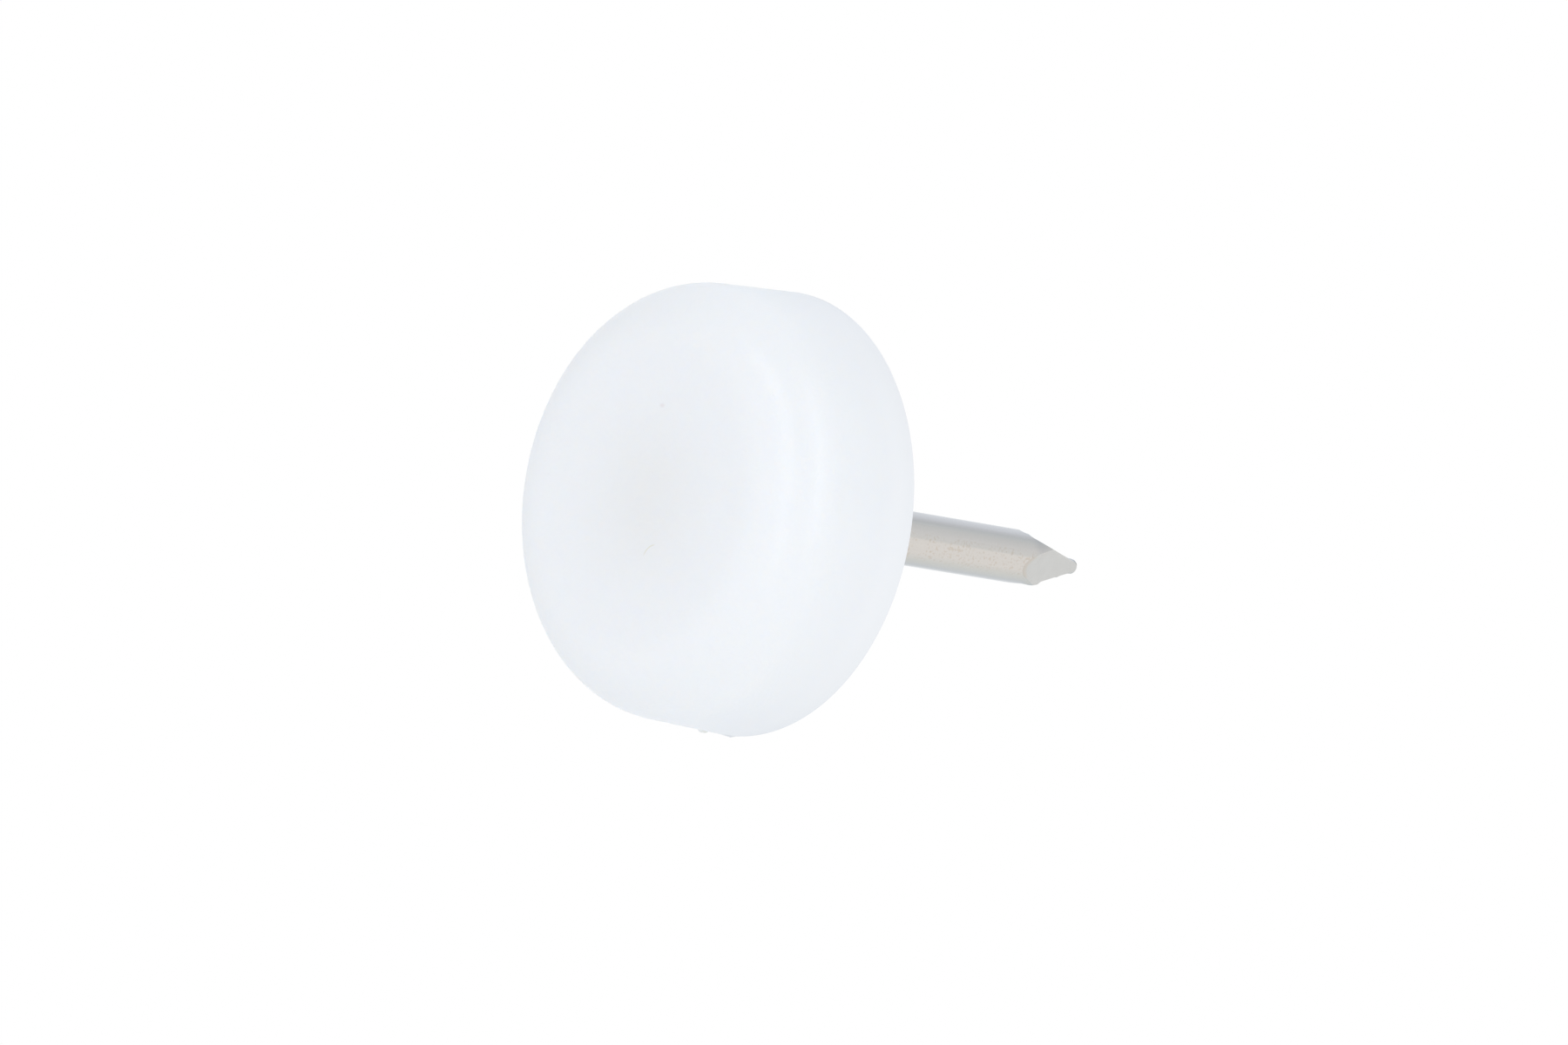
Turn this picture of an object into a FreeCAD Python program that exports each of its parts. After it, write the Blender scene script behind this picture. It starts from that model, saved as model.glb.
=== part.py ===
"""Nail-on furniture glide: a moulded plastic cap with the head of a steel nail set in it.

Millimetres and degrees, +Z up along the nail. The origin is the centre of the glide face, which the part stands on,
so the nail points up into the furniture leg.
"""
import FreeCAD, Part
import os
import Sketcher

# Driving dimensions, one cell of the sheet each
DIMENSIONS = {
    # Cap: widest at its back rim, drawn in by its draft towards the glide face
    "cap_diameter": 20.0,
    "cap_height": 7.1,
    "cap_draft": 3.2,
    "edge_radius": 3.0,
    "rim_radius": 0.1,
    # Nail head and its swollen neck, which the plastic grips
    "head_diameter": 6.0,
    "head_thickness": 1.0,
    "head_depth": 1.6,
    "neck_swell": 0.35,
    "mould_clearance": 0.01,
    # Shank and point
    "nail_diameter": 2.5,
    "nail_projection": 20.0,
    "point_length": 4.25,
    "side_point_length": 4.65,
    "point_turn": 20.7,
    "flats_at_tip": 0.42,
    "nose_length": 1.4,
    "tip_diameter": 0.46,
    "tip_radius": 0.2,
    # How far a cutting outline runs past the surface that it cuts
    "overcut": 1.0,
}

# Heights and radii that several outlines share
BACK = "dims.cap_height"
TIP = "(dims.cap_height + dims.nail_projection)"
SHANK = "dims.nail_diameter / 2"


def make_sheet(doc):
    """The sheet of driving dimensions, as plain numbers with aliases."""
    sheet = doc.addObject("Spreadsheet::Sheet", "dims")
    for row, (alias, value) in enumerate(DIMENSIONS.items(), start=1):
        sheet.set("A%d" % row, alias)
        sheet.set("B%d" % row, str(value))
        sheet.setAlias("B%d" % row, alias)
    doc.recompute()
    return sheet


def origin_feature(body, role):
    """One of the body's own origin planes or axes."""
    return next(feature for feature in body.Origin.OriginFeatures if feature.Role == role)


def half_section(body, name, corners, plane="XZ_Plane"):
    """A closed sketch on an upright origin plane of the body, where x is the radius and y the height.

    A corner is (radius, height) or (radius, height, rounding), each an expression on the sheet. None stands for zero.
    """
    sketch = body.newObject("Sketcher::SketchObject", name)
    sketch.AttachmentSupport = (origin_feature(body, plane), [""])
    sketch.MapMode = "FlatFace"

    places = []
    for corner in corners:
        radius, height = (0.0 if size is None else float(sketch.evalExpression(size)) for size in corner[:2])
        places.append(FreeCAD.Vector(radius, height, 0))
    count = len(corners)
    for index, place in enumerate(places):
        sketch.addGeometry(Part.LineSegment(place, places[(index + 1) % count]), False)
    for index in range(count):
        sketch.addConstraint(Sketcher.Constraint("Coincident", index, 2, (index + 1) % count, 1))

    for index, corner in enumerate(corners):
        sizes = {"DistanceX": corner[0], "DistanceY": corner[1]}
        zero_axis = {"DistanceX": -2, "DistanceY": -1}
        for kind, size in sizes.items():
            if size is None:
                sketch.addConstraint(Sketcher.Constraint("PointOnObject", index, 1, zero_axis[kind]))
            else:
                start = places[index].x if kind == "DistanceX" else places[index].y
                bind(sketch, Sketcher.Constraint(kind, -1, 1, index, 1, start), "%s_%d" % (kind, index), size)

    for index, corner in enumerate(corners):
        if len(corner) == 3:
            radius = float(sketch.evalExpression(corner[2]))
            arc = sketch.GeometryCount
            sketch.fillet(index, 1, radius, True, True)
            bind(sketch, Sketcher.Constraint("Radius", arc, radius), "rounding_%d" % index, corner[2])
    return sketch


def bind(sketch, constraint, name, expression):
    """Adds a named constraint whose value follows the sheet."""
    index = sketch.addConstraint(constraint)
    sketch.renameConstraint(index, name)
    sketch.setExpression("Constraints." + name, expression)


def turn(body, kind, name, sketch):
    """A full Revolution or Groove of a half-section about the body's Z axis."""
    feature = body.newObject("PartDesign::" + kind, name)
    feature.Profile = sketch
    feature.ReferenceAxis = (origin_feature(body, "Z_Axis"), [""])
    feature.Angle = 360
    return feature


def head_and_neck(gap):
    """Half-outline of the nail from its head up to the cap's back, with a gap added to every radius."""
    head = "dims.head_diameter / 2 + " + gap
    head_top = "dims.head_depth + dims.head_thickness"
    neck = SHANK + " + dims.neck_swell + " + gap
    return [
        (None, "dims.head_depth"),
        (head, "dims.head_depth"),
        (head, head_top),
        (neck, head_top),
        (SHANK + " + " + gap, BACK),
    ]


def make_cap(doc):
    """The plastic cap: a round, drafted puck with a large rounded edge, moulded around the nail's head."""
    cap = doc.addObject("PartDesign::Body", "glide_cap")
    front_radius = "dims.cap_diameter / 2 - dims.cap_height * tan(dims.cap_draft * 1 deg)"
    puck = half_section(cap, "cap_section", [
        (None, None),
        (front_radius, None, "dims.edge_radius"),
        ("dims.cap_diameter / 2", BACK, "dims.rim_radius"),
        (None, BACK),
    ])
    turn(cap, "Revolution", "cap_puck", puck)

    above = BACK + " + dims.overcut"
    gap = "dims.mould_clearance"
    seat = half_section(cap, "nail_seat_section", head_and_neck(gap) + [
        (SHANK + " + " + gap, above),
        (None, above),
    ])
    turn(cap, "Groove", "nail_seat", seat)
    return cap


def cut_flats(nail, name, plane, length):
    """Cuts two opposite flats, which start on the shank at this length below the tip and slope in towards it."""
    flat_end = "dims.flats_at_tip / 2"
    outside = SHANK + " + dims.overcut"
    run = "%s / (%s - %s)" % (length, SHANK, flat_end)
    above = TIP + " + dims.overcut"
    wedge = half_section(nail, name + "_section", [
        (flat_end, TIP),
        (flat_end, above),
        (outside, above),
        (outside, "%s - %s - dims.overcut * %s" % (TIP, length, run)),
    ], plane)
    flat = nail.newObject("PartDesign::Pocket", name)
    flat.Profile = wedge
    flat.SideType = "Symmetric"
    flat.Type = "Length"
    flat.setExpression("Length", "2 * (dims.nail_diameter + dims.overcut)")
    pair = nail.newObject("PartDesign::PolarPattern", name + "_pair")
    pair.Originals = [flat]
    pair.Axis = (origin_feature(nail, "Z_Axis"), [""])
    pair.Angle = 360
    pair.Occurrences = 2
    nail.Tip = pair


def make_nail(doc):
    """The steel nail: flat head, swollen neck, round shank and a point cut by flats to a small blunt tip."""
    nail = doc.addObject("PartDesign::Body", "nail")
    blank = half_section(nail, "nail_section", head_and_neck("0") + [
        (SHANK, TIP + " - dims.nose_length"),
        ("dims.tip_diameter / 2", TIP, "dims.tip_radius"),
        (None, TIP),
    ])
    turn(nail, "Revolution", "nail_blank", blank)

    cut_flats(nail, "side_flat", "XZ_Plane", "dims.side_point_length")
    cut_flats(nail, "front_flat", "YZ_Plane", "dims.point_length")
    nail.Placement = FreeCAD.Placement(FreeCAD.Vector(), FreeCAD.Rotation(FreeCAD.Vector(0, 0, 1), 0))
    nail.setExpression("Placement.Rotation.Angle", "dims.point_turn")
    return nail


def check(doc, bodies):
    """Stops if any feature failed or any body isn't one valid solid."""
    for item in doc.Objects:
        if {"Invalid", "Error"} & set(item.State):
            raise RuntimeError("%s failed: %s" % (item.Name, item.State))
    for body in bodies:
        if body.Shape.isNull() or not body.Shape.isValid() or len(body.Shape.Solids) != 1:
            raise RuntimeError("%s isn't one valid solid" % body.Label)


def check_cuts(cap, nail):
    """Stops if a cut took nothing away."""
    for body, before in ((cap, "cap_puck"), (nail, "nail_blank")):
        whole = body.Document.getObject(before).Shape.Volume
        if body.Shape.Volume >= whole:
            raise RuntimeError("nothing was cut from %s" % body.Label)


def main():
    doc = FreeCAD.newDocument("furniture_glide")
    make_sheet(doc)
    cap = make_cap(doc)
    nail = make_nail(doc)
    doc.recompute()
    check(doc, (cap, nail))
    check_cuts(cap, nail)
    os.makedirs("parts", exist_ok=True)
    for body in (cap, nail):
        body.Shape.exportStep("parts/%s.step" % body.Label)
        box = body.Shape.BoundBox
        print("%s: volume %.3f mm3, z %.3f to %.3f" % (body.Label, body.Shape.Volume, box.ZMin, box.ZMax))


main()
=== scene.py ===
"""Looks of a nail-on furniture glide: its moulded plastic cap, its wire nail, and the small studio around them.

Sizes are written in millimetres and turned into metres by MM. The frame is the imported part's own: the origin is the
centre of the glide face, which the part stands on, and +Z runs up the nail.
"""
import math

import bmesh
import bpy
from mathutils import Matrix, Vector


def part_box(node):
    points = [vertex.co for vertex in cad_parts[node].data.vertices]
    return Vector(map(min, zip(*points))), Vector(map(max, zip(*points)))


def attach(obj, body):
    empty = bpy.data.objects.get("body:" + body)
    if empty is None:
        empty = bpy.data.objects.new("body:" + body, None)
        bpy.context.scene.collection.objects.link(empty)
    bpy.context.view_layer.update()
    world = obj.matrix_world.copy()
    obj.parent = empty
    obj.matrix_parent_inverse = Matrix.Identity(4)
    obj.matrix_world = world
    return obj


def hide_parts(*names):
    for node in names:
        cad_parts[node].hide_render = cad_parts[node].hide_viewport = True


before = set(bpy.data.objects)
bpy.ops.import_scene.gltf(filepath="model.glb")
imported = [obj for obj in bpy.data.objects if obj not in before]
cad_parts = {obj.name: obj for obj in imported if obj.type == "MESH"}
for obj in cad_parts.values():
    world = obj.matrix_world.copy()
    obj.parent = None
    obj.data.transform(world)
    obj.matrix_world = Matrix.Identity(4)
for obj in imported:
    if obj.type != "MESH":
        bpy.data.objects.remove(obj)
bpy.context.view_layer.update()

# A millimetre in metres, how near two places count as one, and how near vertices are joined
MM = 0.001
NEAR = 0.001 * MM
WELD = NEAR / 10

# Cap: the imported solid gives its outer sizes, and the drafted wall widens towards the back
CAP_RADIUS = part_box("glide_cap")[1].x
CAP_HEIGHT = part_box("glide_cap")[1].z
CAP_DRAFT = math.radians(3.2)
EDGE_RADIUS = 3.0 * MM
RIM_RADIUS = 0.02 * MM
FACE_CENTRE_RADIUS = 0.4 * MM

# How finely the cap is divided, and the angle in degrees below which its faces are shaded smooth
CAP_SIDES = 192
EDGE_SEGMENTS = 28
RIM_SEGMENTS = 3
WALL_CUTS = 10
FLAT_RINGS = 12
CAP_SMOOTH_BELOW = 30

# Nail: head and neck sit in the cap, the shank stands out of its back
HEAD_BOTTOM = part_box("nail")[0].z
HEAD_RADIUS = 3.0 * MM
HEAD_THICKNESS = 1.0 * MM
NECK_RADIUS = 1.6 * MM
SHANK_RADIUS = 1.25 * MM
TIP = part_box("nail")[1].z
SEAT_GAP = 0.01 * MM

# How finely the nail is divided, and the angle in degrees below which its faces are shaded smooth
NAIL_SIDES = 96
SHANK_CUTS = 66
NAIL_SMOOTH_BELOW = 14

# Flats of the point: the way each faces, its distance from the axis at the tip, and its length down from the tip
POINT_FLATS = (
    (math.radians(20.7), 0.21 * MM, 4.65 * MM),
    (math.radians(193.9), 0.186 * MM, 4.03 * MM),
    (math.radians(110.7), 0.21 * MM, 4.25 * MM),
    (math.radians(-69.3), 0.21 * MM, 4.25 * MM),
)

# Ridges between the flats: the edges longer and sharper than this, and how they are rounded
RIDGE_LENGTH = 1.0 * MM
RIDGE_ANGLE = math.radians(40)
RIDGE_WIDTH = 0.05 * MM
RIDGE_SEGMENTS = 3

# Blunt tip: rings at these depths below its end, how much each is widened, and how far it is rounded to a circle
TIP_RINGS = (
    (0.0, 0.3, 1.0),
    (0.015 * MM, 0.62, 1.0),
    (0.05 * MM, 0.96, 1.0),
    (0.10 * MM, 1.14, 0.9),
    (0.17 * MM, 1.2, 0.75),
    (0.25 * MM, 1.17, 0.5),
    (0.34 * MM, 1.09, 0.3),
    (0.45 * MM, 1.03, 0.15),
)

# Cuts that divide the point: along the axis, by the way each faces, and across it, by its depth below the tip
CUT_TURNS = [math.radians(1.875 + 15 * step) for step in range(12)]
CUT_DEPTHS = [ring[0] for ring in TIP_RINGS[1:]] + [0.6 * MM + step * 0.1 * MM for step in range(40)]

# Burrs on the edges of the nail's point: a place, how it is pushed and how far around it the push reaches
POINT_BURRS = (
    ((1.07 * MM, -0.50 * MM, 24.15 * MM), (0.07 * MM, -0.02 * MM, 0), 0.6 * MM),
    ((1.04 * MM, -0.51 * MM, 24.55 * MM), (0.06 * MM, -0.02 * MM, 0), 0.3 * MM),
    ((0.60 * MM, -0.34 * MM, 25.95 * MM), (0.03 * MM, -0.01 * MM, 0), 0.2 * MM),
    ((-1.09 * MM, -0.27 * MM, 23.55 * MM), (-0.045 * MM, 0, 0), 0.35 * MM),
    ((0.0, -0.05 * MM, 27.1 * MM), (0.03 * MM, -0.07 * MM, 0), 0.7 * MM),
)

# Marks left by the mould: a burr on the wall, drawn out in steps of inset and height, and a lip of flash on the rim
BURR_PLACE = (9.94 * MM, 0, 6.1 * MM)
BURR_STEPS = ((0.05 * MM, 0.07 * MM), (0.05 * MM, 0.03 * MM))
FLASH_PLACE = (9.98 * MM, -0.6 * MM, 7.1 * MM)
FLASH_PUSH = (0.07 * MM, 0, 0)
FLASH_REACH = 0.4 * MM

# Plastic: tones of the face, the edge, painted shade on the wall towards the back rim, the nail head's painted shadow
# showing through, and the small marks
FACE_TONE = (0.815, 0.839, 0.877, 1)
EDGE_TONE = (0.778, 0.803, 0.835, 1)
BACK_SHADE_TONE = (0.745, 0.769, 0.802, 1)
HEAD_SHADOW_TONE = (0.788, 0.804, 0.824, 1)
HAIR_TONE = (0.715, 0.71, 0.64, 1)
SPECK_TONE = (0.765, 0.755, 0.785, 1)
BURR_TONE = (0.71, 0.735, 0.715, 1)

# Where those tones come in: nothing of a tone at the first distance, and all of it at the second
EDGE_FADE = (6.0 * MM, 9.4 * MM)
BACK_SHADE_FADE = (3.2 * MM, 7.6 * MM)
FLAT_BACK_FADE = (CAP_HEIGHT - RIM_RADIUS, CAP_HEIGHT)
HEAD_SHADOW_FADE = (5.6 * MM, 0.0)
HAIR_FADE = (0.045 * MM, 0.005 * MM)
HAIR_ENDS_FADE = (0.5 * MM, 0.25 * MM)
SPECK_FADE = (0.14 * MM, 0.03 * MM)
BURR_FADE = (0.32 * MM, 0.12 * MM)

# The head's painted shadow spot, and the hair and speck in the face; a weight over 1 narrows a spot and one under 1
# draws it out
HEAD_SHADOW_SPOT = (0.2 * MM, -0.5 * MM, 0)
HEAD_SHADOW_WEIGHTS = (1, 1, 2)
HAIR_CENTRE = (2.89 * MM, -1.70 * MM, 0)
HAIR_RADIUS = 0.80 * MM
HAIR_PLACE = (2.33 * MM, -1.2 * MM, 0)
SPECK_PLACE = (-3.97 * MM, -0.53 * MM, 0)
SPECK_WEIGHTS = (1, 0.6, 1)

# Surface of the plastic: its gloss and waves, a grain that fades out up the wall, and scattering up to the rim
PLASTIC_ROUGHNESS = 0.28
PLASTIC_IOR = 1.5
WAVE_SIZE = 2.5 * MM
WAVE_DEPTH = 0.004 * MM
GRAIN_SIZE = 0.2 * MM
GRAIN_DEPTH = 0.02 * MM
GRAIN_FADE = (5.5 * MM, 2.5 * MM)
SCATTER_RADIUS = (1.0, 0.9, 0.8)
SCATTER_SCALE = 1.5 * MM
SCATTER_FADE = (6.7 * MM, 5.2 * MM)

# Plated wire: tones of the plating, its drawing lines and pits, the ground flats, and a thin darker line along the
# edge of a flat
BRIGHT_TONE = (0.682, 0.653, 0.617, 1)
LINE_TONE = (0.652, 0.622, 0.587, 1)
PIT_TONE = (0.615, 0.56, 0.50, 1)
FLAT_TONE = (0.575, 0.575, 0.562, 1)
GROUND_TONE = (0.635, 0.635, 0.622, 1)
FLAT_LINE_TONE = (0.59, 0.55, 0.50, 1)

# Surface of the wire: drawing lines, pits that lie in patches on the worn side, and the rougher ground flats
LINE_SIZE = 0.1 * MM
LINE_STRETCH = (1, 1, 60)
LINE_DEPTH = 0.0006 * MM
PIT_SIZE = 0.12 * MM
PIT_DEPTH = 0.002 * MM
PIT_FADE = (0.53, 0.66)
PATCH_SIZE = 1.2 * MM
PATCH_FADE = (0.33, 0.52)
WORN_SIDE = (0.28 * MM, -1.22 * MM, 0)
WORN_FADE = (0.9 * MM, 0.3 * MM)
GROUND_SIZE = 0.5 * MM
FLAT_FADE = (0.02 * MM, 0.004 * MM)
WIRE_ROUGHNESS = 0.14
FLAT_EXTRA_ROUGHNESS = 0.16

# Thin darker line beside the front flat, on the round of the wire, and dark spots, the first of them painted shade,
# each with its radius and tone
FLAT_LINE_PLACE = (0.38 * MM, -1.19 * MM, 22.9 * MM)
FLAT_LINE_REACH = (1.0 * MM, 0.5 * MM)
FLAT_LINE_FADE = (0.022 * MM, 0.006 * MM)
ROUND_FADE = (1.16 * MM, 1.24 * MM)
DARK_SPOTS = (
    ((-0.64 * MM, -1.03 * MM, 23.85 * MM), 0.65 * MM, (0.60, 0.58, 0.56, 1)),
    ((-0.24 * MM, -0.32 * MM, 26.97 * MM), 0.22 * MM, (0.34, 0.34, 0.34, 1)),
)
DARK_CORE = 0.1 * MM

# Weights that measure a distance from the axis alone, the origin, and a distance beyond everything
ACROSS = (1, 1, 0)
ORIGIN = (0, 0, 0)
FAR = 1.0

# Photograph's camera: below the glide face, looking up at it and turned on its side
CAMERA_PLACE = Vector((0.215, -226.33, -197.0)) * MM
CAMERA_TILT = math.radians(42.27)
CAMERA_ROLL = math.radians(99.454)
CAMERA_LENS = 157.04
CAMERA_SENSOR = 36
CAMERA_NEAREST = 0.01

# Studio: the world's white and its fill light, the floor and the screen, in metres
WHITE = (1, 1, 1, 1)
FILL_BRIGHTNESS = 0.867
STUDIO_SIDES = 96
FLOOR_RADIUS = 0.6
FLOOR_DROP = 0.05 * MM
FLOOR_FADE = (0.55, 0.12)
FLOOR_TONE = (0.9, 0.9, 0.9, 1)
SCREEN_RADIUS = 0.55
SCREEN_HEIGHT = 1.2
SCREEN_MIDDLE = 0.2

# Tones of the screen that the nail mirrors, by direction in degrees from +X towards +Y
SCREEN_TONES = (
    (-180, (0.655, 0.71, 0.77)),
    (-165, (0.722, 0.775, 0.828)),
    (-157, (0.75, 0.79, 0.83)),
    (-125, (0.843, 0.868, 0.902)),
    (-97, (0.882, 0.909, 0.923)),
    (-95, (1.0, 1.0, 1.0)),
    (-35, (1.0, 1.0, 1.0)),
    (5, (0.861, 0.907, 0.921)),
    (28, (0.791, 0.847, 0.892)),
    (44, (0.76, 0.82, 0.89)),
    (70, (0.89, 0.93, 0.97)),
    (105, (0.90, 0.94, 0.99)),
    (118, (0.83, 0.88, 0.95)),
    (136, (0.837, 0.896, 0.99)),
    (160, (0.80, 0.86, 0.96)),
    (172, (0.711, 0.757, 0.832)),
)

# Kinds of lamps: soft ones light the part but aren't mirrored in it, mirrored ones show in it but don't light it
SOFT = "soft"
MIRRORED = "mirrored"
BOTH = "both"

# Watts per square metre of a lamp at brightness 1
LAMP_POWER = 4

# Lamps: name, direction from the cap, distance, direction of the long side, size in metres, brightness and kind
LAMPS = (
    ("left_light", (-0.395, -0.480, -0.783), 0.455, (-0.949, 0.286, 0.135), (0.72, 0.03), 5.0, SOFT),
    ("left_strip", (-0.230, -0.535, -0.813), 0.45, (-0.949, 0.286, 0.135), (0.64, 0.03), 3.4, MIRRORED),
    ("left_strip_end", (-0.785, -0.050, -0.618), 0.431, (-0.159, 0.98, 0.123), (0.18, 0.024), 5.0, MIRRORED),
    ("right_strip", (-0.447, -0.895, -0.004), 0.45, (0.89, -0.442, -0.114), (0.64, 0.024), 4.8, BOTH),
    ("top_light", (0.25, -0.35, 1.0), 0.5, (1, 0, 0), (0.4, 0.4), 0.56, SOFT),
    ("low_light", (0.85, -0.35, -0.4), 0.5, (0, 0, 1), (0.4, 0.4), 0.6, SOFT),
    ("upper_fill", (-1.0, -0.15, 0.15), 0.5, (0, 0, 1), (0.4, 0.4), 0.12, SOFT),
    ("lower_fill", (1.0, 0, -0.1), 0.5, (0, 0, 1), (0.4, 0.4), 0.12, SOFT),
)


# Modelling by hand

def begin_piece(name):
    """Names the primitive that was just added, puts its place into its mesh and opens it for editing."""
    piece = bpy.context.object
    piece.name = name
    piece.data.name = name
    bpy.ops.object.transform_apply(location=True, rotation=True, scale=True)
    bpy.ops.object.mode_set(mode="EDIT")
    return piece


def end_piece(smooth_below):
    """Cleans the open mesh, turns its faces outwards and shades it smooth up to an angle between faces."""
    bpy.ops.mesh.select_all(action="SELECT")
    bpy.ops.mesh.remove_doubles(threshold=WELD)
    bpy.ops.mesh.normals_make_consistent(inside=False)
    bpy.ops.object.mode_set(mode="OBJECT")
    bpy.ops.object.shade_smooth_by_angle(angle=math.radians(smooth_below))


def pick(piece, kind, wanted):
    """Selects the faces, edges or vertices that the test wants, and nothing else."""
    bpy.ops.mesh.select_mode(type=kind)
    bpy.ops.mesh.select_all(action="DESELECT")
    mesh = bmesh.from_edit_mesh(piece.data)
    parts = {"VERT": mesh.verts, "EDGE": mesh.edges, "FACE": mesh.faces}[kind]
    for part in parts:
        part.select_set(wanted(part))
    mesh.select_flush_mode()
    bmesh.update_edit_mesh(piece.data)


def level(height):
    """A test for edges and faces that lie flat at one height."""
    return lambda part: all(abs(vertex.co.z - height) < NEAR for vertex in part.verts)


def upright(lowest, highest):
    """A test for edges that run from one height to another."""
    def wanted(edge):
        heights = sorted(vertex.co.z for vertex in edge.verts)
        return abs(heights[0] - lowest) < NEAR and abs(heights[1] - highest) < NEAR
    return wanted


def inset_to(start, end, steps):
    """Insets the selected round face from one radius to another, in equal rings."""
    for _ in range(steps):
        bpy.ops.mesh.inset(thickness=(start - end) / steps, depth=0)


def extrude_up(height, start=1.0, end=1.0):
    """Extrudes the selected round face along the nail and changes its radius from start to end."""
    bpy.ops.mesh.extrude_region_move(TRANSFORM_OT_translate={"value": (0, 0, height)})
    bpy.ops.transform.resize(value=(end / start, end / start, 1))


def round_off(width, segments):
    """Rounds the selected edges over this width, to a part of a circle."""
    bpy.ops.mesh.bevel(offset=width, segments=segments, profile=0.5, affect="EDGES")


def cut(place, facing, **options):
    """Cuts the whole mesh along a plane."""
    bpy.ops.mesh.select_all(action="SELECT")
    bpy.ops.mesh.bisect(plane_co=place, plane_no=facing, threshold=WELD, **options)


def nudge(piece, place, move, reach):
    """Pushes the vertex nearest to a place, and less of the surface around it, as far as reach."""
    mesh = bmesh.from_edit_mesh(piece.data)
    nearest = min(mesh.verts, key=lambda vertex: (vertex.co - Vector(place)).length).co.copy()
    pick(piece, "VERT", lambda vertex: (vertex.co - nearest).length < WELD)
    bpy.ops.transform.translate(value=move, use_proportional_edit=True, proportional_edit_falloff="SMOOTH",
                                proportional_size=reach)


def model_cap():
    """The moulded cap: a drafted puck with a large rounded edge, a crisp rim and the nail's seat in its back."""
    front_radius = CAP_RADIUS - CAP_HEIGHT * math.tan(CAP_DRAFT)
    bpy.ops.object.select_all(action="DESELECT")
    bpy.ops.mesh.primitive_cone_add(
        vertices=CAP_SIDES, radius1=front_radius, radius2=CAP_RADIUS, depth=CAP_HEIGHT,
        location=(0, 0, CAP_HEIGHT / 2))
    cap = begin_piece("moulded_cap")

    # The rounded edge of the glide face, and the small radius on the rim
    edge_run = EDGE_RADIUS * math.tan((math.pi / 2 - CAP_DRAFT) / 2)
    rim_run = RIM_RADIUS * math.tan((math.pi / 2 + CAP_DRAFT) / 2)
    pick(cap, "EDGE", level(0))
    round_off(edge_run, EDGE_SEGMENTS)
    pick(cap, "EDGE", level(CAP_HEIGHT))
    round_off(rim_run, RIM_SEGMENTS)

    # Rings on the wall, whose edges are the only tall ones, and on the glide face
    tall = CAP_HEIGHT / 3
    pick(cap, "EDGE", lambda edge: abs(edge.verts[0].co.z - edge.verts[1].co.z) > tall)
    bpy.ops.mesh.subdivide(number_cuts=WALL_CUTS)
    pick(cap, "FACE", level(0))
    inset_to(front_radius - edge_run, FACE_CENTRE_RADIUS, FLAT_RINGS)
    bpy.ops.mesh.poke()

    # Rings on the flat back, and the seat that grips the nail's neck and head
    pick(cap, "FACE", level(CAP_HEIGHT))
    seat_mouth = SHANK_RADIUS + SEAT_GAP
    seat_neck = NECK_RADIUS + SEAT_GAP
    seat_head = HEAD_RADIUS + SEAT_GAP
    head_top = HEAD_BOTTOM + HEAD_THICKNESS
    inset_to(CAP_RADIUS - rim_run, seat_mouth, FLAT_RINGS)
    extrude_up(head_top - CAP_HEIGHT, seat_mouth, seat_neck)
    extrude_up(0, seat_neck, seat_head)
    extrude_up(-HEAD_THICKNESS)

    # A burr on the wall and a lip of flash on the rim, left by the mould
    mesh = bmesh.from_edit_mesh(cap.data)
    nearest = min(mesh.faces, key=lambda face: (face.calc_center_median() - Vector(BURR_PLACE)).length)
    centre = nearest.calc_center_median()
    pick(cap, "FACE", lambda face: (face.calc_center_median() - centre).length < NEAR)
    for width, height in BURR_STEPS:
        bpy.ops.mesh.inset(thickness=width, depth=height)
    nudge(cap, FLASH_PLACE, FLASH_PUSH, FLASH_REACH)

    end_piece(CAP_SMOOTH_BELOW)
    return cap


def model_nail():
    """The wire nail: flat head, swollen neck and round shank, with a point cut by four flats and a blunt tip."""
    bpy.ops.object.select_all(action="DESELECT")
    bpy.ops.mesh.primitive_cylinder_add(
        vertices=NAIL_SIDES, radius=HEAD_RADIUS, depth=HEAD_THICKNESS,
        location=(0, 0, HEAD_BOTTOM + HEAD_THICKNESS / 2))
    nail = begin_piece("wire_nail")
    head_top = HEAD_BOTTOM + HEAD_THICKNESS

    # Neck and shank, drawn up out of the head
    pick(nail, "FACE", level(head_top))
    inset_to(HEAD_RADIUS, NECK_RADIUS, 1)
    extrude_up(CAP_HEIGHT - head_top, NECK_RADIUS, SHANK_RADIUS)
    extrude_up(TIP - CAP_HEIGHT)
    pick(nail, "EDGE", upright(CAP_HEIGHT, TIP))
    bpy.ops.mesh.subdivide(number_cuts=SHANK_CUTS)

    # Four flats cut the point, and the ridges between them are a little rounded
    for turn, at_tip, length in POINT_FLATS:
        slope = (SHANK_RADIUS - at_tip) / length
        outward = Vector((math.cos(turn), math.sin(turn), 0))
        cut(outward * at_tip + Vector((0, 0, TIP)), outward + Vector((0, 0, slope)),
            use_fill=True, clear_outer=True)
    pick(nail, "EDGE", lambda edge: edge.is_manifold and edge.calc_length() > RIDGE_LENGTH
         and edge.calc_face_angle() > RIDGE_ANGLE)
    round_off(RIDGE_WIDTH, RIDGE_SEGMENTS)

    # Cuts along and across the point, so that single rings and places on its edges can move
    for turn in CUT_TURNS:
        cut(ORIGIN, (math.cos(turn), math.sin(turn), 0))
    for depth in CUT_DEPTHS:
        cut((0, 0, TIP - depth), (0, 0, 1))
    for depth, share, roundness in TIP_RINGS:
        pick(nail, "VERT", lambda vertex: abs(vertex.co.z - TIP + depth) < NEAR)
        bpy.ops.transform.tosphere(value=roundness)
        bpy.ops.transform.resize(value=(share, share, 1))
    for place, move, reach in POINT_BURRS:
        nudge(nail, place, move, reach)

    end_piece(NAIL_SMOOTH_BELOW)
    return nail


# Materials

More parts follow.
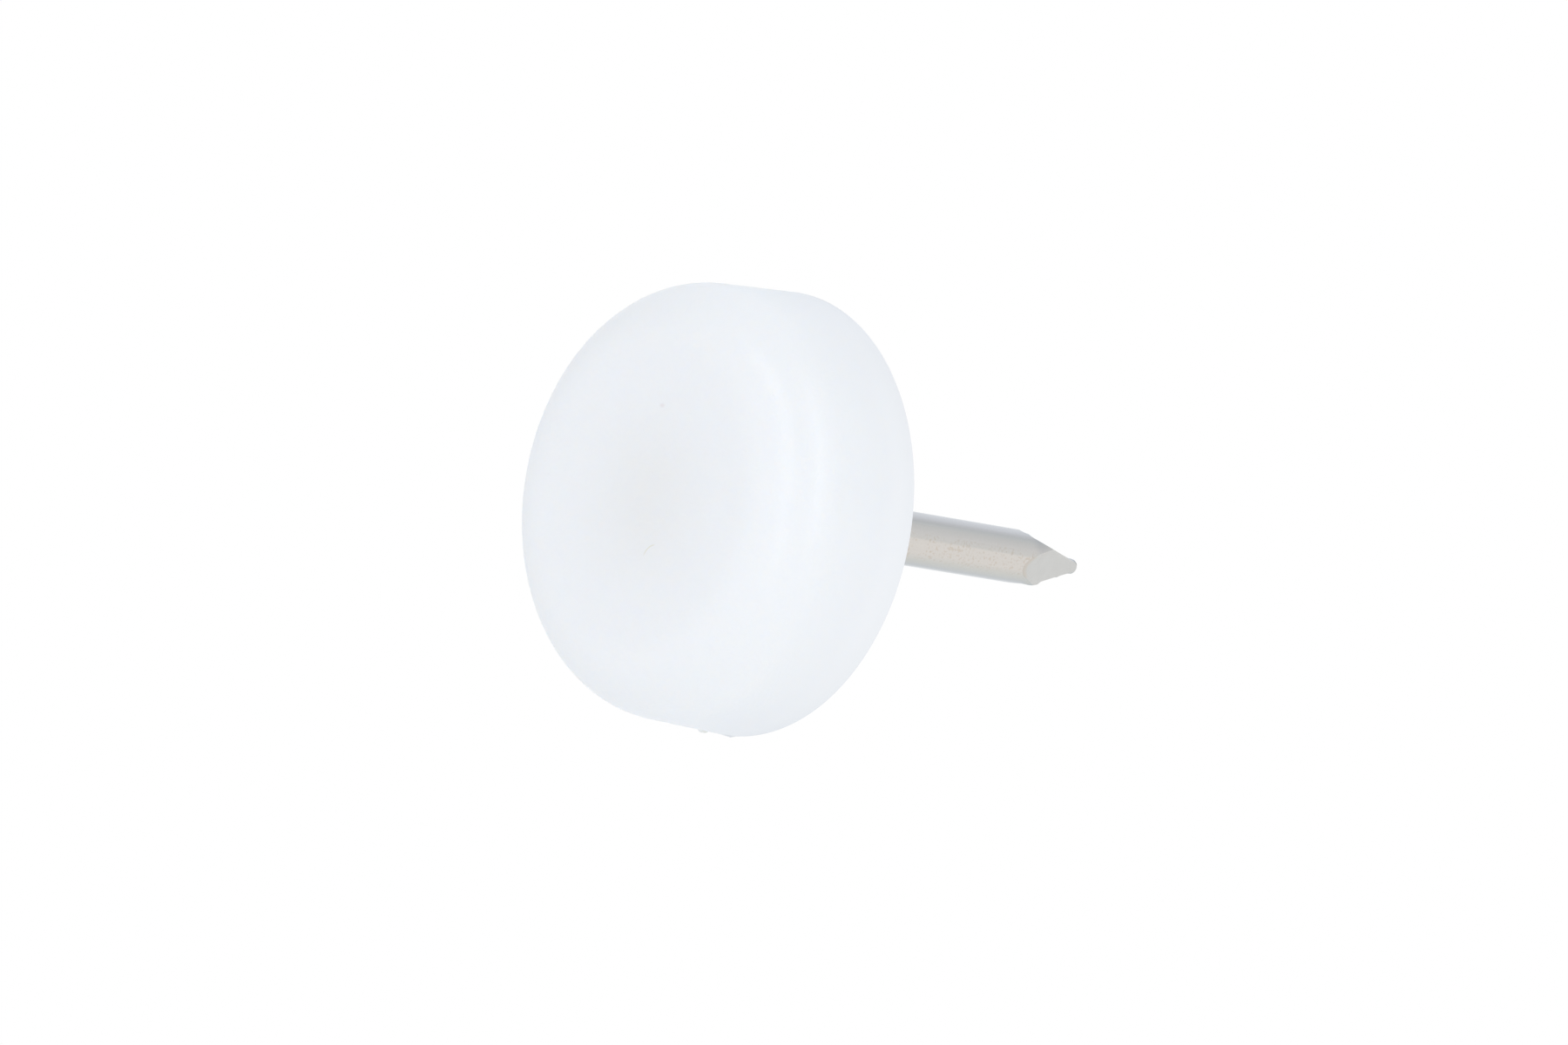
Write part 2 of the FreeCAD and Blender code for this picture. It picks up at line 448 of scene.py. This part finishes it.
def add_node(tree, kind, inputs=None, **options):
    """Adds a node, sets its options, and fills its inputs with values or with the sockets that feed them."""
    node = tree.nodes.new(kind)
    for option, value in options.items():
        setattr(node, option, value)
    for name, value in (inputs or {}).items():
        if isinstance(value, bpy.types.NodeSocket):
            tree.links.new(value, node.inputs[name])
        else:
            node.inputs[name].default_value = value
    return node


def new_material(name):
    """An empty node material, with its tree and its output."""
    material = bpy.data.materials.new(name)
    material.use_nodes = True
    material.node_tree.nodes.clear()
    output = add_node(material.node_tree, "ShaderNodeOutputMaterial")
    return material, material.node_tree, output


def math_node(tree, operation, first, second=0.0):
    """The result of one sum on two numbers."""
    return add_node(tree, "ShaderNodeMath", {0: first, 1: second}, operation=operation).outputs[0]


def scale_and_add(tree, value, scale, added):
    """A value times a scale, plus a number."""
    return add_node(tree, "ShaderNodeMath", {0: value, 1: scale, 2: added}, operation="MULTIPLY_ADD").outputs[0]


def fade(tree, value, start, end):
    """A smooth step from 0 where the value is at start to 1 where it is at end."""
    return add_node(tree, "ShaderNodeMapRange", {"Value": value, "From Min": start, "From Max": end},
                    interpolation_type="SMOOTHSTEP").outputs["Result"]


def blend_colour(tree, share, first, second):
    """Goes from the first colour to the second as the share goes from 0 to 1."""
    mix = add_node(tree, "ShaderNodeMix", {0: share, 6: first, 7: second}, data_type="RGBA")
    return mix.outputs[2]


def noise(tree, place, grain, detail, stretch=(1, 1, 1)):
    """Noise whose grains are about this size, drawn out by stretch along the three axes."""
    scale = tuple(1 / share for share in stretch)
    spread = add_node(tree, "ShaderNodeMapping", {"Vector": place, "Scale": scale})
    return add_node(tree, "ShaderNodeTexNoise", {"Vector": spread.outputs[0], "Scale": 1 / grain, "Detail": detail}
                    ).outputs[0]


def distance_from(tree, place, centre, scale=(1, 1, 1)):
    """How far a place is from a point, with each axis weighted."""
    moved = add_node(tree, "ShaderNodeVectorMath", {0: place, 1: centre}, operation="SUBTRACT")
    weighted = add_node(tree, "ShaderNodeVectorMath", {0: moved.outputs[0], 1: scale}, operation="MULTIPLY")
    return add_node(tree, "ShaderNodeVectorMath", {0: weighted.outputs[0]}, operation="LENGTH").outputs["Value"]


def bump(tree, height, depth, under=None, strength=1.0):
    """A bump of this depth for a height from 0 to 1, on top of another bump."""
    inputs = {"Height": height, "Distance": depth, "Strength": strength}
    if under is not None:
        inputs["Normal"] = under
    return add_node(tree, "ShaderNodeBump", inputs).outputs[0]


def white_plastic():
    """Satin white moulded plastic, a little translucent, with the nail head's shadow painted in as a soft darker spot
    and painted shade towards the back rim.
    """
    material, tree, output = new_material("moulded_white_plastic")
    place = add_node(tree, "ShaderNodeTexCoord").outputs["Object"]
    height = add_node(tree, "ShaderNodeSeparateXYZ", {0: place}).outputs["Z"]
    near_edge = fade(tree, distance_from(tree, place, ORIGIN, ACROSS), *EDGE_FADE)
    back_shade = fade(tree, height, *BACK_SHADE_FADE)
    on_back = fade(tree, height, *FLAT_BACK_FADE)
    head_shadow = fade(tree, distance_from(tree, place, HEAD_SHADOW_SPOT, HEAD_SHADOW_WEIGHTS), *HEAD_SHADOW_FADE)
    tone = blend_colour(tree, near_edge, FACE_TONE, EDGE_TONE)
    # Painted shade: the wall turns darker towards the back rim
    tone = blend_colour(tree, back_shade, tone, BACK_SHADE_TONE)
    tone = blend_colour(tree, on_back, tone, FACE_TONE)
    # Painted shade: the nail head's shadow through the plastic, a soft darker spot in the face
    tone = blend_colour(tree, head_shadow, tone, HEAD_SHADOW_TONE)

    # Small marks: a short hair, which is part of a ring, and a speck in the face, and a darker tone around the burr
    # on the wall
    from_ring = math_node(tree, "SUBTRACT", distance_from(tree, place, HAIR_CENTRE), HAIR_RADIUS)
    hair = fade(tree, math_node(tree, "ABSOLUTE", from_ring), *HAIR_FADE)
    between_ends = fade(tree, distance_from(tree, place, HAIR_PLACE), *HAIR_ENDS_FADE)
    hair = math_node(tree, "MULTIPLY", hair, between_ends)
    speck = fade(tree, distance_from(tree, place, SPECK_PLACE, SPECK_WEIGHTS), *SPECK_FADE)
    burr = fade(tree, distance_from(tree, place, BURR_PLACE), *BURR_FADE)
    tone = blend_colour(tree, hair, tone, HAIR_TONE)
    tone = blend_colour(tree, speck, tone, SPECK_TONE)
    tone = blend_colour(tree, burr, tone, BURR_TONE)

    # The grain lies on the face and fades out up the wall, and no light scatters through the thin rim
    waves = bump(tree, noise(tree, place, WAVE_SIZE, detail=3), WAVE_DEPTH)
    grain = noise(tree, place, GRAIN_SIZE, detail=2)
    shader = add_node(tree, "ShaderNodeBsdfPrincipled", {
        "Base Color": tone,
        "Roughness": PLASTIC_ROUGHNESS,
        "Normal": bump(tree, grain, GRAIN_DEPTH, waves, fade(tree, height, *GRAIN_FADE)),
        "IOR": PLASTIC_IOR,
        "Subsurface Weight": fade(tree, height, *SCATTER_FADE),
        "Subsurface Radius": SCATTER_RADIUS,
        "Subsurface Scale": SCATTER_SCALE,
    })
    tree.links.new(shader.outputs[0], output.inputs["Surface"])
    return material


def plated_wire():
    """Satin plated steel wire with fine drawing lines and tan pits, and greyer ground flats at the point."""
    material, tree, output = new_material("satin_plated_wire")
    place = add_node(tree, "ShaderNodeTexCoord").outputs["Object"]
    lines = noise(tree, place, LINE_SIZE, detail=3, stretch=LINE_STRETCH)
    specks = fade(tree, noise(tree, place, PIT_SIZE, detail=1), *PIT_FADE)
    patches = fade(tree, noise(tree, place, PATCH_SIZE, detail=2), *PATCH_FADE)
    worn_side = fade(tree, distance_from(tree, place, WORN_SIDE, ACROSS), *WORN_FADE)
    pits = math_node(tree, "MULTIPLY", specks, patches)
    pits = math_node(tree, "MULTIPLY", pits, worn_side)

    # How near the surface is to the plane of a flat, and how near to the round of the wire
    height = add_node(tree, "ShaderNodeSeparateXYZ", {0: place}).outputs["Z"]
    below_tip = math_node(tree, "SUBTRACT", TIP, height)
    gap = FAR
    for turn, at_tip, length in POINT_FLATS:
        plane = scale_and_add(tree, below_tip, (SHANK_RADIUS - at_tip) / length, at_tip)
        outward = (math.cos(turn), math.sin(turn), 0)
        reach = add_node(tree, "ShaderNodeVectorMath", {0: place, 1: outward}, operation="DOT_PRODUCT")
        gap = math_node(tree, "MINIMUM", math_node(tree, "SUBTRACT", plane, reach.outputs["Value"]), gap)
    flat = fade(tree, gap, *FLAT_FADE)
    round_side = fade(tree, distance_from(tree, place, ORIGIN, ACROSS), *ROUND_FADE)
    # A thin darker tan line along the edge of the front flat, on the round of the wire
    near_worn = fade(tree, distance_from(tree, place, FLAT_LINE_PLACE), *FLAT_LINE_REACH)
    flat_line = math_node(tree, "MULTIPLY", fade(tree, gap, *FLAT_LINE_FADE), round_side)
    flat_line = math_node(tree, "MULTIPLY", flat_line, near_worn)

    tone = blend_colour(tree, lines, LINE_TONE, BRIGHT_TONE)
    tone = blend_colour(tree, pits, tone, PIT_TONE)
    ground = blend_colour(tree, noise(tree, place, GROUND_SIZE, detail=4), FLAT_TONE, GROUND_TONE)
    tone = blend_colour(tree, flat, tone, ground)
    tone = blend_colour(tree, flat_line, tone, FLAT_LINE_TONE)
    # Dark spots: the first is painted shade on the round just above the front flat, the second darkens the upper side
    # of the tip
    for spot, radius, dark_tone in DARK_SPOTS:
        darkened = fade(tree, distance_from(tree, place, spot), radius, DARK_CORE)
        tone = blend_colour(tree, darkened, tone, dark_tone)
    shader = add_node(tree, "ShaderNodeBsdfPrincipled", {
        "Base Color": tone,
        "Metallic": 1.0,
        "Roughness": scale_and_add(tree, flat, FLAT_EXTRA_ROUGHNESS, WIRE_ROUGHNESS),
        "Normal": bump(tree, pits, -PIT_DEPTH, bump(tree, lines, LINE_DEPTH)),
    })
    tree.links.new(shader.outputs[0], output.inputs["Surface"])
    return material


def dress(piece, material, node_name):
    """Gives a piece its material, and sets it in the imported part's place of that node."""
    piece.data.materials.clear()
    piece.data.materials.append(material)
    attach(piece, "root")
    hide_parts(node_name)


# Studio

def add_floor():
    """A pale floor that shows from above and fades out into the white around it; light from below passes it."""
    bpy.ops.object.select_all(action="DESELECT")
    bpy.ops.mesh.primitive_circle_add(vertices=STUDIO_SIDES, radius=FLOOR_RADIUS, fill_type="NGON",
                                      location=(0, 0, -FLOOR_DROP))
    floor = bpy.context.object
    floor.name = "floor"

    material, tree, output = new_material("pale_floor")
    place = add_node(tree, "ShaderNodeTexCoord").outputs["Object"]
    seen = add_node(tree, "ShaderNodeLightPath").outputs["Is Camera Ray"]
    from_below = add_node(tree, "ShaderNodeNewGeometry").outputs["Backfacing"]
    near = fade(tree, distance_from(tree, place, ORIGIN), *FLOOR_FADE)
    share = math_node(tree, "MULTIPLY", seen, near)
    share = math_node(tree, "MULTIPLY", share, math_node(tree, "SUBTRACT", 1.0, from_below))
    clear = add_node(tree, "ShaderNodeBsdfTransparent")
    pale = add_node(tree, "ShaderNodeBsdfDiffuse", {"Color": FLOOR_TONE})
    mix = add_node(tree, "ShaderNodeMixShader", {0: share, 1: clear.outputs[0], 2: pale.outputs[0]})
    tree.links.new(mix.outputs[0], output.inputs["Surface"])
    floor.data.materials.append(material)


def add_world():
    """White to look at and in reflections, and a softer white as fill light."""
    world = bpy.data.worlds.new("white_studio")
    bpy.context.scene.world = world
    world.use_nodes = True
    tree = world.node_tree
    tree.nodes.clear()
    path = add_node(tree, "ShaderNodeLightPath").outputs
    shown = math_node(tree, "MAXIMUM", path["Is Camera Ray"], path["Is Glossy Ray"])
    shown = math_node(tree, "MAXIMUM", shown, path["Is Transmission Ray"])
    fill = add_node(tree, "ShaderNodeBackground", {"Color": WHITE, "Strength": FILL_BRIGHTNESS})
    white = add_node(tree, "ShaderNodeBackground", {"Color": WHITE, "Strength": 1.0})
    mix = add_node(tree, "ShaderNodeMixShader", {0: shown, 1: fill.outputs[0], 2: white.outputs[0]})
    add_node(tree, "ShaderNodeOutputWorld", {"Surface": mix.outputs[0]})


def add_lamp(name, towards, distance, long_way, size, brightness, kind):
    """A lamp in this direction from the cap, facing it, with its long side along long_way."""
    data = bpy.data.lights.new(name, "AREA")
    data.shape = "RECTANGLE"
    data.size, data.size_y = size
    data.energy = brightness * LAMP_POWER * size[0] * size[1]
    lamp = bpy.data.objects.new(name, data)
    bpy.context.scene.collection.objects.link(lamp)
    away = Vector(towards).normalized()
    along = Vector(long_way)
    along = (along - away * along.dot(away)).normalized()
    turned = Matrix((along, away.cross(along), away)).transposed().to_4x4()
    lamp.matrix_world = Matrix.Translation(away * distance) @ turned
    lamp.visible_camera = False
    lamp.visible_diffuse = kind != MIRRORED
    lamp.visible_glossy = kind != SOFT


def add_screen():
    """A curved screen around the part that only reflections show: white in front, grey and bluish behind."""
    bpy.ops.object.select_all(action="DESELECT")
    bpy.ops.mesh.primitive_cylinder_add(vertices=STUDIO_SIDES, radius=SCREEN_RADIUS, depth=SCREEN_HEIGHT,
                                        end_fill_type="NOTHING", location=(0, 0, SCREEN_MIDDLE))
    screen = bpy.context.object
    screen.name = "reflection_screen"
    bpy.ops.object.transform_apply(location=True)
    screen.visible_camera = False
    screen.visible_diffuse = False
    screen.visible_transmission = False
    screen.visible_volume_scatter = False
    screen.visible_shadow = False

    material, tree, output = new_material("screen_tones")
    place = add_node(tree, "ShaderNodeTexCoord").outputs["Object"]
    turn = add_node(tree, "ShaderNodeTexGradient", {"Vector": place}, gradient_type="RADIAL").outputs["Fac"]
    ramp = add_node(tree, "ShaderNodeValToRGB", {"Fac": turn})
    # The gradient goes once around, from 0 at -180 degrees to 1 at 180 degrees
    stops = [(degrees / 360 + 0.5, (*tone, 1)) for degrees, tone in SCREEN_TONES]
    tones = ramp.color_ramp.elements
    tones.remove(tones[1])
    tones[0].position, tones[0].color = stops[0]
    for position, tone in stops[1:]:
        tones.new(position).color = tone
    glow = add_node(tree, "ShaderNodeEmission", {"Color": ramp.outputs["Color"], "Strength": 1.0})
    tree.links.new(glow.outputs[0], output.inputs["Surface"])
    screen.data.materials.append(material)


def add_camera():
    """The photograph's camera."""
    data = bpy.data.cameras.new("photo_camera")
    data.sensor_width = CAMERA_SENSOR
    data.lens = CAMERA_LENS
    data.clip_start = CAMERA_NEAREST
    camera = bpy.data.objects.new("photo_camera", data)
    bpy.context.scene.collection.objects.link(camera)
    tilt = Matrix.Rotation(math.pi / 2 + CAMERA_TILT, 4, "X")
    roll = Matrix.Rotation(CAMERA_ROLL, 4, "Z")
    camera.matrix_world = Matrix.Translation(CAMERA_PLACE) @ tilt @ roll
    bpy.context.scene.camera = camera


bpy.context.scene.view_settings.view_transform = "Standard"
add_camera()
add_world()
add_floor()
add_screen()
for lamp in LAMPS:
    add_lamp(*lamp)

dress(model_cap(), white_plastic(), "glide_cap")
dress(model_nail(), plated_wire(), "nail")
